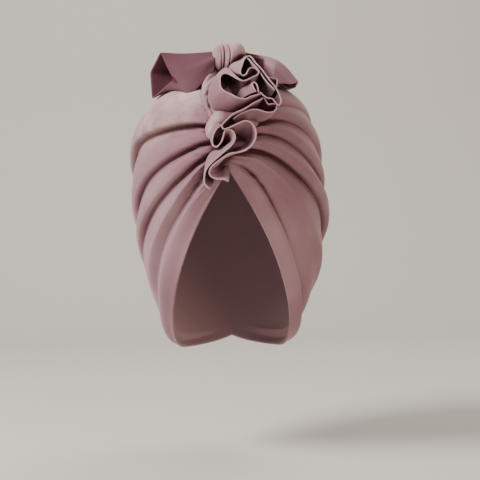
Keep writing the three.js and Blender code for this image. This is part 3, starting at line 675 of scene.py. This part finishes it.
# Its width in mm, the share of it left at the knot, its swell and its wall in mm
STRAP_WIDTH, STRAP_NARROW, STRAP_SWELL, STRAP_WALL, STRAP_STEPS = 28.0, 0.8, 4.5, 1.5, (121, 101)
# Its inside and its bed in mm, where it comes down off the gather, and how and where it climbs to the knot
STRAP_CLEAR, STRAP_BED, OFF_GATHER, KNOT_LIFT, KNOT_LIFT_START = 0.5, 2.2, (0.2, 0.4), 5.0, 0.55
# Folds along the strap: depth in mm, radians across, drift, sharpness, and their sway with its radians
FOLD_DEPTH, FOLDS_ACROSS, FOLD_DRIFT, FOLD_SHARPNESS = 2.4, 12, 2.8, 0.8
FOLD_SWAY, SWAY_ALONG, SWAY_ACROSS = 1.8, 2.6, 3
# Creases that cross the strap: the starts at its left side, the climb to its right side and the width, as
# shares of its length, and the depth in mm
STRAP_CREASES, CREASE_CLIMB, CREASE_WIDTH, CREASE_DEPTH = (0.16, 0.34, 0.55, 0.7), 0.5, 0.035, 1.6


def make_strap(look):
    """The centre strap: gathered cloth that runs from the knot down under the band."""
    u, v = shares(*STRAP_STEPS)
    turns, sides = np.array(STRAP_SIDE, float).T
    turn = mix(turns[0], turns[-1], v)
    across = spline(turns, sides, turn) + u * STRAP_WIDTH * mix(1, STRAP_NARROW, smooth(v))
    sway = FOLD_SWAY * np.sin(SWAY_ALONG * v + SWAY_ACROSS * u)
    folds = 1 - np.abs(np.sin(u * FOLDS_ACROSS + sway - FOLD_DRIFT * v)) ** FOLD_SHARPNESS
    creases = sum(np.exp(-((v - start - CREASE_CLIMB * u) / CREASE_WIDTH) ** 2) for start in STRAP_CREASES)
    start, run = OFF_GATHER
    bed = (STRAP_BED + GATHER_RISE * (1 - smooth((v - start) / run))
           + KNOT_LIFT * smooth((v - KNOT_LIFT_START) / (1 - KNOT_LIFT_START)))
    rise = bed + (STRAP_SWELL - FOLD_DEPTH * folds - CREASE_DEPTH * creases) * arch(u, 2.5)
    inner = front_points(across, turn, STRAP_CLEAR + rise)
    outer = front_points(across, turn, STRAP_CLEAR + STRAP_WALL + rise)
    # The middle of the strap is painted pale, partly crushed pile and partly a painted highlight
    return cloth("centre_strap_velvet", outer, inner, crush=0.5 * arch(u, 2))


# The knot's middle, half width and radius in mm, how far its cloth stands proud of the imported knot, its
# share of width and its lean to the left underneath
KNOT_AT, KNOT_WIDTH, KNOT_RADIUS, KNOT_PROUD = (3.0, -42.0, 13.0), 16.0, 15.0, 0.5
KNOT_WAIST, KNOT_LEAN, KNOT_ROUNDNESS = 0.45, 7.0, 4
# Lines round the knot and along it, and the share of its way that a flat end takes
KNOT_STEPS, KNOT_END = (201, 141), 0.004
# The upper layer of cloth on its right half: height in mm, and where it starts and how it fades in
LAYER_RISE, LAYER_START, LAYER_RUN = 1.2, 0.05, 0.5
# How the creases fade at their ends, and the shapes of their drift and of their cross-section
CREASE_FADE, DRIFT_POWER, CREASE_POWER = 0.08, 0.8, 1.6
# Creases of the knot: the start on top, the drift on its way round, its run in turns, its depth in mm and
# its width
KNOT_CREASES = ((-0.78, 0.45, 0.2, 0.9, 0.05), (-0.5, 0.62, 0.42, 1.5, 0.05), (-0.34, 0.98, 0.4, 1.3, 0.045),
                (-0.66, 0.55, 0.45, 1.0, 0.045), (-0.92, 0.4, 0.5, 0.9, 0.06), (-0.1, 1.1, 0.3, 0.5, 0.05))


def make_knot(look):
    """The knot: cloth wound round the bow, wide on top and drawn in where it runs down."""
    a, s = shares(*KNOT_STEPS)
    a, s = 2 * np.pi * a[:-1], -np.cos(np.pi * mix(KNOT_END, 1 - KNOT_END, s[:-1]))
    narrow = (1 - np.cos(a)) / 2
    turns = np.abs((a + np.pi) % (2 * np.pi) - np.pi) / (2 * np.pi)
    ridge = LAYER_RISE * smooth((s - LAYER_START) / LAYER_RUN)
    for start, drift, run, depth, wide in KNOT_CREASES:
        fade = 1 - smooth((turns - run) / CREASE_FADE)
        away = np.abs(s - start - drift * np.sin(a / 2) ** DRIFT_POWER) / wide
        ridge -= depth * fade * np.exp(-away ** CREASE_POWER)
    radius = (KNOT_RADIUS + KNOT_PROUD + ridge) * np.sqrt(np.maximum(0, 1 - np.abs(s) ** KNOT_ROUNDNESS))
    x = KNOT_AT[0] + s * KNOT_WIDTH * mix(1, KNOT_WAIST, narrow) - narrow * KNOT_LEAN
    p = np.stack([x, KNOT_AT[1] - radius * np.sin(a), KNOT_AT[2] + radius * np.cos(a)], -1)
    ids = np.arange(a.size).reshape(a.shape)
    faces = quads(np.concatenate([ids, ids[:1]])) + [ids[::-1, 0].tolist(), ids[:, -1].tolist()]
    # The top of the knot is painted pale, partly crushed pile and partly a painted highlight where the light
    # falls
    obj = make_object("bow_knot_velvet", p.reshape(-1, 3), faces, {"crush": (0.5 + 0.5 * np.cos(a)).ravel()})
    tidy(obj)
    return obj


# Sections of the tails from the knot to the mouth, a row for each: its share of the way, and the
# corners of the flattened tube, which are top, back, heel, toe and face, each as x, y, z in mm.
LEFT_TAIL = (
    (0.0, (-7, -44, 21.6), (-7, -36, 16), (-7, -38, 6), (-11, -56, 2), (-10, -55, 13.5)),
    (0.5, (-36, -44, 21.2), (-38, -25.5, 9), (-40, -34, -5.8), (-31.3, -66, -18.9), (-35.4, -57, 3.6)),
    (1.0, (-57.1, -44.2, 22.5), (-68, -30, 5.5), (-66.6, -32.6, -19.5), (-45, -52, -4.5), (-51, -48.6, 9)),
)
RIGHT_TAIL = (
    (0.0, (13.6, -44, 20.7), (12.2, -34, 16.2), (12.2, -36, 4.5), (13.6, -42, 3.6), (13.6, -45, 12.6)),
    (0.3, (30, -42, 18), (30, -27, 12.5), (28, -29, 1), (29, -37, 1), (30, -38, 10)),
    (0.42, (38.5, -42, 16.3), (37, -25, 9.5), (34, -27.5, -1.5), (37.5, -52, -4), (38.5, -51, 7)),
    (0.75, (54, -38, 8), (53.5, -23.5, 1), (47.5, -27.5, -9), (43.5, -51.5, -9.5), (49, -49.5, -1)),
    (1, (65.6, -31.3, -5.4), (62.6, -24.5, -10.5), (54.8, -30.5, -13.4), (47.2, -49.6, -8.6),
     (57.2, -44.2, -8.6)),
)
TAIL_CLOTH, TAIL_RINGS, TAIL_SIDE_STEPS, TAIL_ROUNDING = 1.8, 61, 24, 8
# The gather at the knot: depth in mm, reach along the tail, and radians round a side and along
TAIL_GATHER, TAIL_GATHER_END, WAVES_ROUND, WAVES_ALONG = 0.9, 0.22, 5.1, 2
# The front wall in corners round the tube: where it starts and over how much, and so for its end
FRONT_START, FRONT_END, TUCK_FADE = (2.6, 0.4), (4.5, 0.3), 0.03


def make_tail(name, sections, tuck):
    """A bow tail: an open flattened tube, gathered into the knot. Up to the share tuck of its way the front
    wall is tucked in, and there it is marked as reverse, which gets the painted fold shade at full depth."""
    v = np.linspace(0, 1, TAIL_RINGS)
    places = [row[0] for row in sections]
    lines = [[spline(places, [row[corner][k] for row in sections], v) for k in range(3)]
             for corner in range(1, 6)]
    loops = np.moveaxis(np.array(lines), -1, 0)
    u = np.linspace(0, 5, 5 * TAIL_SIDE_STEPS + 1)[:-1]
    corner, share = np.floor(u).astype(int), (u % 1)[:, None]
    outer = np.stack([mix(loop[corner], loop[(corner + 1) % 5], share) for loop in loops], 1)
    for _ in range(TAIL_ROUNDING):
        outer = (np.roll(outer, 1, 0) + 2 * outer + np.roll(outer, -1, 0)) / 4
    centre = outer.mean(0, keepdims=True)
    gather = np.exp(-(v / TAIL_GATHER_END) ** 2)[None, :, None]
    wave = np.sin(u[:, None] * WAVES_ROUND + WAVES_ALONG * v[None])[..., None]
    outer = outer + unit(outer - centre) * (TAIL_GATHER * wave * gather)
    inner = outer - unit(outer - centre) * TAIL_CLOTH
    (start, fade_in), (end, fade_out) = FRONT_START, FRONT_END
    front = smooth((u - start) / fade_in) * (1 - smooth((u - end) / fade_out))
    # The tucked front wall is marked as reverse so that it gets painted shade
    tucked = front[:, None] * smooth((tuck - v) / TUCK_FADE)[None]
    return cloth(name, outer, inner, wrap=True, reverse=tucked)


# Rays out of a point: how far in mm other cloth counts, how many, and where in mm they start
FOLD_REACH, FOLD_RAYS, RAY_START = 24.0, 14, 0.25
# The stopped share that makes no fold, and how much more makes a full one
OPEN_SHARE, FULL_SHARE = 0.1, 0.42
# How much of the painted fold shade a piece keeps, less where its pile still catches light
FOLD_SHADE_KEPT = {"crown_velvet": 0.9, "front_band_velvet": 0.55, "centre_strap_velvet": 0.55}
# The left tail leans away from the light, so all of it gets at least this much painted shade
LEFT_TAIL_SHADE = 0.72


def mark_fold_shade(pieces):
    """Marks how deep each point lies in a fold: the share of ways out that other cloth stops. The mark sets
    the painted shade in folds.
    """
    corners, faces = [], []
    for piece in pieces:
        first = len(corners)
        corners += [v.co for v in piece.data.vertices]
        faces += [[first + i for i in face.vertices] for face in piece.data.polygons]
    tree = BVHTree.FromPolygons(corners, faces)
    k = np.arange(FOLD_RAYS) + 0.5
    tilt, spin = np.sqrt(k / FOLD_RAYS), k * np.pi * (1 + 5 ** 0.5)
    ways = np.stack([tilt * np.cos(spin), tilt * np.sin(spin), np.sqrt(1 - tilt ** 2)], -1)
    for piece in pieces:
        depth = []
        for v in piece.data.vertices:
            n = np.array(v.normal)
            side = unit(np.cross(n, [0.0, 0.0, 1.0] if abs(n[2]) < 0.9 else [1.0, 0.0, 0.0]))
            turned = (ways @ np.stack([side, np.cross(n, side), n])).tolist()
            start = v.co + v.normal * (RAY_START * MM)
            stopped = 0.0
            for way in turned:
                distance = tree.ray_cast(start, way, FOLD_REACH * MM)[3]
                if distance is not None:
                    stopped += 1 - distance / (FOLD_REACH * MM)
            depth.append(stopped / FOLD_RAYS)
        share = smooth((np.array(depth) - OPEN_SHARE) / FULL_SHARE) * FOLD_SHADE_KEPT.get(piece.name, 1.0)
        back = np.zeros(len(share))
        if "reverse" in piece.data.attributes:
            piece.data.attributes["reverse"].data.foreach_get("value", back)
        if piece.name == "crown_velvet":
            share *= 1 - back
        # A tail's inside and its tucked front wall get the painted shade at full depth
        if piece.name.startswith("bow_tail"):
            share = np.maximum(share, back)
        # The whole left tail is painted at least this dark, as painted shade
        if piece.name == "bow_tail_left_velvet":
            share = np.maximum(share, LEFT_TAIL_SHADE)
        # The hollow mark is painted shade: the material darkens the colour with it
        hollow = piece.data.attributes.new("hollow", "FLOAT", "POINT")
        hollow.data.foreach_set("value", share.astype(np.float32))


def linear(hex_colour):
    """An sRGB hex colour as linear RGBA."""
    parts = [int(hex_colour[i:i + 2], 16) / 255 for i in (1, 3, 5)]
    return tuple(c / 12.92 if c <= 0.04045 else ((c + 0.055) / 1.055) ** 2.4 for c in parts) + (1.0,)


def add(tree, kind, settings=None, **links):
    """Adds a node with its settings, and links or sets its inputs by name or number, as i0."""
    node = tree.nodes.new("ShaderNode" + kind)
    for key, value in (settings or {}).items():
        setattr(node, key, value)
    for key, value in links.items():
        socket = node.inputs[int(key[1:]) if key[1:].isdigit() else key.replace("_", " ")]
        if isinstance(value, bpy.types.NodeSocket):
            tree.links.new(value, socket)
        else:
            socket.default_value = value
    return node


# Width of the pile's grain as drawn, in metres
GRAIN = 0.001


def velvet(name, look, crushed_share, mottle):
    """Stretch velvet: short pile knitted into a stretch ground and dyed one shade. Pile that leans away
    from the light looks deep, and crushed pile looks pale. The wine red down in a fold is painted shade,
    and the pale crushed patches and the pale cut edges are partly painted highlight."""
    material = bpy.data.materials.new(name)
    material.use_nodes = True
    tree = material.node_tree
    shader = tree.nodes["Principled BSDF"]
    place = add(tree, "TexCoord").outputs["Object"]

    # Lean of the pile drifts slowly over the cloth; a light and a dark drift are two strokes wide
    drift = add(tree, "TexNoise", Vector=place, Scale=0.5 / look.stroke, Detail=3.0,
                Roughness=0.5).outputs[0]
    drift = add(tree, "MapRange", {"interpolation_type": "SMOOTHSTEP"}, Value=drift,
                From_Min=0.35, From_Max=0.7, To_Min=0.0, To_Max=mottle).outputs[0]
    # The pile's own grain is about 0.3 mm, drawn as coarse as GRAIN so that it still shows
    grain = add(tree, "TexNoise", Vector=place, Scale=1 / GRAIN, Detail=2.0, Roughness=0.6).outputs[0]
    streak = add(tree, "MapRange", Value=grain, From_Min=0.25, From_Max=0.75, To_Min=0.0,
                 To_Max=0.35).outputs[0]
    # Crushed patches, only where the crush mark lies: the lit tops and the upper left, so partly a painted
    # highlight
    patch = add(tree, "TexNoise", Vector=place, Scale=1 / look.patch, Detail=4.0,
                Roughness=0.55).outputs[0]
    patch = add(tree, "MapRange", {"interpolation_type": "SMOOTHSTEP"}, Value=patch,
                From_Min=0.3, From_Max=0.75, To_Min=0.1, To_Max=crushed_share).outputs[0]
    # Marks: crush is partly painted highlight, hollow is painted shade, and edge is partly painted highlight
    marks = {name: add(tree, "Attribute", {"attribute_name": name}).outputs["Fac"]
             for name in ("crush", "reverse", "hollow", "edge")}
    # Layers of colour, each over those before it: where it lies, how strong it is, and its colour
    body = linear(look.deep)
    for share, strength, tone in (
            (streak, 1.0, look.pile),
            (drift, 1.0, look.crushed),
            # Pale crushed patches, partly a painted highlight on the lit parts
            (patch, marks["crush"], look.pale_crush_highlight),
            (marks["reverse"], 0.8, look.reverse),
            # Painted shade: deep wine red down in folds
            (marks["hollow"], 0.9, look.hollow),
            # Pale cut edge, partly its own tone and partly a painted highlight
            (marks["edge"], 0.8, look.cut_edge_highlight)):
        share = add(tree, "Math", {"operation": "MULTIPLY", "use_clamp": True}, i0=share, i1=strength)
        body = add(tree, "Mix", {"data_type": "RGBA"}, i0=share.outputs[0], i6=body,
                   i7=linear(tone)).outputs[2]
    # Pile seen from its side shines pale, but the painted fold shade also takes the sheen away down in a fold
    sheen = add(tree, "MapRange", Value=marks["hollow"], From_Min=0.0, From_Max=0.8, To_Min=0.75,
                To_Max=0.05).outputs[0]
    bump = add(tree, "Bump", Strength=0.3, Distance=0.0003, Height=grain).outputs[0]
    tree.links.new(body, shader.inputs["Base Color"])
    tree.links.new(bump, shader.inputs["Normal"])
    tree.links.new(sheen, shader.inputs["Sheen Weight"])
    for socket, value in (("Roughness", 0.95), ("IOR", 1.46), ("Specular IOR Level", 0.1),
                          ("Sheen Roughness", 0.4), ("Sheen Tint", linear(look.sheen))):
        shader.inputs[socket].default_value = value
    return material


def painted_board(look):
    """Matt painted board, sprayed smooth: even, pale and without gloss."""
    material = bpy.data.materials.new("matt_painted_board")
    material.use_nodes = True
    shader = material.node_tree.nodes["Principled BSDF"]
    shader.inputs["Base Color"].default_value = linear(look.board)
    shader.inputs["Roughness"].default_value = 0.85
    shader.inputs["Specular IOR Level"].default_value = 0.15
    return material


def dress(obj, material, node):
    """Puts a piece in the frame: its finish, its body and the solid it stands for, which it hides."""
    obj.data.materials.clear()
    obj.data.materials.append(material)
    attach(obj, "root")
    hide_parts(node)


def make_camera():
    """The photograph's view: level with the brow, 1.2 m in front, turned and rolled a little."""
    right, up, ahead = camera_axes()
    data = bpy.data.cameras.new("camera")
    data.sensor_width = 36.0
    data.lens = data.sensor_width * FOCAL / FRAME
    camera = place_in_scene("camera", data)
    place = Matrix(np.column_stack([right, up, -ahead]).tolist()).to_4x4()
    place.translation = CAMERA_PLACE.tolist()
    camera.matrix_world = place
    bpy.context.scene.camera = camera


# Studio lights: place in metres, the height on the centre line that it aims at, size, watts and colour
LIGHTS = {
    "window_at_left": ((-1.15, -0.6, 0.95), -0.06, 0.8, 42, "#fffaf6"),
    "fill_from_right": ((1.1, -1.6, 0.2), -0.12, 1.2, 13, "#ffe2cc"),
    "glow_from_behind": ((0.5, 0.7, 1.1), -0.05, 0.8, 8, "#ffffff"),
}
# Strength of the light from all round
AIR_LIGHT = 0.6


def make_light(name, place, aim, size, power, colour):
    """A soft round light that looks at a height on the centre line."""
    data = bpy.data.lights.new(name, "AREA")
    data.shape, data.size, data.energy, data.color = "DISK", size, power, linear(colour)[:3]
    light = place_in_scene(name, data)
    way = Vector((0, 0, aim)) - Vector(place)
    light.matrix_world = Matrix.Translation(place) @ way.to_track_quat("-Z", "Y").to_matrix().to_4x4()


# The board in mm: floor, back wall, the bend between them, half width, and its run to the front and up
STAGE_FLOOR, STAGE_BACK, STAGE_BEND, STAGE_HALF, STAGE_RUN = -345.0, 1500.0, 500.0, 5000, 4000


def make_stage(look):
    """A pale board that sweeps up behind, with soft light from a window at the left."""
    turn = np.linspace(0, np.pi / 2, 17)
    depth = np.concatenate([[-STAGE_RUN], STAGE_BACK - STAGE_BEND + STAGE_BEND * np.sin(turn), [STAGE_BACK]])
    height = np.concatenate([[0], STAGE_BEND * (1 - np.cos(turn)), [STAGE_RUN]]) + STAGE_FLOOR
    points = [(x, y, z) for x in (-STAGE_HALF, STAGE_HALF) for y, z in zip(depth, height)]
    n = len(depth)
    sweep = make_object("studio_sweep", points, [(i, i + n, i + n + 1, i + 1) for i in range(n - 1)])
    sweep.data.materials.append(painted_board(look))
    world = bpy.data.worlds.new("studio_air")
    world.use_nodes = True
    air = world.node_tree.nodes["Background"]
    air.inputs["Color"].default_value = linear(look.board)
    air.inputs["Strength"].default_value = AIR_LIGHT
    bpy.context.scene.world = world
    for name, (place, aim, size, power, tone) in LIGHTS.items():
        make_light(name, place, aim, size, power * look.light, tone)


def length(name, description, default):
    """A size in metres that a user may change."""
    return FloatProperty(name=name, description=description, default=default, unit="LENGTH")


def factor(name, description):
    """A share of the size or strength as made, which a user may change."""
    return FloatProperty(name=name, description=description, default=1.0, min=0.0, subtype="FACTOR")


def colour(name, description, default):
    """A colour that a user may change, as an sRGB hex value."""
    return StringProperty(name=name, description=description, default=default)


class TurbanLook(bpy.types.PropertyGroup):
    """The sizes and colours of the turban that a user would change."""
    crown_cloth: length("Crown cloth", "Wall of the crown", 0.002)
    ruffle_cloth: length("Ruffle cloth", "Wall of a frill", 0.0012)
    stroke: length("Stroke", "Width of a drift in the pile", 0.05)
    patch: length("Patch", "Width of a crushed patch", 0.02)
    pleat_share: factor("Pleats", "Height of the pleats")
    light: factor("Light", "Strength of the studio light")
    deep: colour("Deep pile", "Pile that leans away from the light", "#84606b")
    pile: colour("Pile", "Pile that stands straight", "#a4828c")
    crushed: colour("Stroked pile", "Pile that leans towards the light", "#b59aa1")
    # Pale crushed pile, partly a painted highlight
    pale_crush_highlight: colour("Crushed pile", "Pile that was pressed flat", "#d8c3bb")
    reverse: colour("Reverse", "Smooth back of the knit", "#a98d93")
    # Painted shade down in the folds, deep wine red
    hollow: colour("Hollow", "Pile down in a fold", "#40121f")
    sheen: colour("Sheen", "Shine of the pile seen from its side", "#cbb6b2")
    # Pale cut edge, partly its own tone and partly a painted highlight
    cut_edge_highlight: colour("Cut edge", "Bare ends of the pile along a cut edge", "#ba9aa2")
    board: colour("Board", "Paint of the studio board", "#d6d2cb")


class TURBAN_OT_stage(bpy.types.Operator):
    """Makes the camera, board and studio light"""
    bl_idname = "turban.stage"
    bl_label = "Stage"

    def execute(self, context):
        make_camera()
        make_stage(context.scene.turban)
        return {"FINISHED"}


class TURBAN_OT_crown(bpy.types.Operator):
    """Makes the pleated crown"""
    bl_idname = "turban.crown"
    bl_label = "Crown"

    def execute(self, context):
        look = context.scene.turban
        skin = velvet("crushed_stretch_velvet", look, 0.8, 0.5)
        dress(make_crown(look), skin, "crown")
        return {"FINISHED"}


class TURBAN_OT_trim(bpy.types.Operator):
    """Makes the front band and the centre strap"""
    bl_idname = "turban.trim"
    bl_label = "Band and strap"

    def execute(self, context):
        look = context.scene.turban
        skin = velvet("gathered_stretch_velvet", look, 0.9, 0.9)
        band, strap = make_band(look), make_strap(look)
        dress(band, skin, "front_band")
        dress(strap, skin, "centre_strap")
        return {"FINISHED"}


class TURBAN_OT_bow(bpy.types.Operator):
    """Makes the bow's knot and its two open tails"""
    bl_idname = "turban.bow"
    bl_label = "Bow"

    def execute(self, context):
        look = context.scene.turban
        skin = velvet("folded_stretch_velvet", look, 0.5, 0.3)
        dress(make_knot(look), skin, "bow_knot")
        for side, sections, tuck in (("left", LEFT_TAIL, 0.0), ("right", RIGHT_TAIL, 0.38)):
            piece = make_tail("bow_tail_%s_velvet" % side, sections, tuck)
            dress(piece, skin, "bow_tail_" + side)
        return {"FINISHED"}


class TURBAN_OT_ruffles(bpy.types.Operator):
    """Makes the lower and the upper ruffle"""
    bl_idname = "turban.ruffles"
    bl_label = "Ruffles"

    def execute(self, context):
        look = context.scene.turban
        skin = velvet("cut_edge_stretch_velvet", look, 0.3, 0.5)
        lower = make_ruffle("lower_ruffle_velvet", (DIAGONAL_STRIP, INNER_STRIP, LOBE_STRIP), look)
        dress(lower, skin, "lower_ruffle")
        rose = (ROSE_STRIP, TEARDROP_STRIP, LINING_STRIP, CORNER_STRIP)
        upper = make_ruffle("upper_ruffle_velvet", rose, look)
        dress(upper, skin, "upper_ruffle")
        return {"FINISHED"}


class TURBAN_OT_fold_shade(bpy.types.Operator):
    """Marks how deep the cloth lies in its folds, which sets the painted shade there"""
    bl_idname = "turban.folds"
    bl_label = "Fold depth"

    def execute(self, context):
        mark_fold_shade([obj for obj in context.scene.objects if obj.name.endswith("_velvet")])
        return {"FINISHED"}


STEPS = (TURBAN_OT_stage, TURBAN_OT_crown, TURBAN_OT_trim, TURBAN_OT_bow, TURBAN_OT_ruffles, TURBAN_OT_fold_shade)


class TURBAN_PT_panel(bpy.types.Panel):
    """Lists the steps that build the turban, and its sizes and colours"""
    bl_idname = "TURBAN_PT_panel"
    bl_label = "Turban headwrap"
    bl_space_type = "VIEW_3D"
    bl_region_type = "UI"
    bl_category = "Turban"

    def draw(self, context):
        for step in STEPS:
            self.layout.operator(step.bl_idname)
        for prop in TurbanLook.__annotations__:
            self.layout.prop(context.scene.turban, prop)


def register():
    """Registers the classes and puts the turban's sizes and colours on the scene."""
    for item in (TurbanLook, *STEPS, TURBAN_PT_panel):
        bpy.utils.register_class(item)
    bpy.types.Scene.turban = PointerProperty(type=TurbanLook)


def unregister():
    """Takes back what register did."""
    del bpy.types.Scene.turban
    for item in reversed((TurbanLook, *STEPS, TURBAN_PT_panel)):
        bpy.utils.unregister_class(item)


def main():
    """Builds every piece in order."""
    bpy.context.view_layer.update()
    register()
    for step in STEPS:
        if getattr(bpy.ops.turban, step.bl_idname.split(".")[1])() != {"FINISHED"}:
            raise RuntimeError(step.bl_label + " did not finish")


if __name__ == "__main__":
    main()
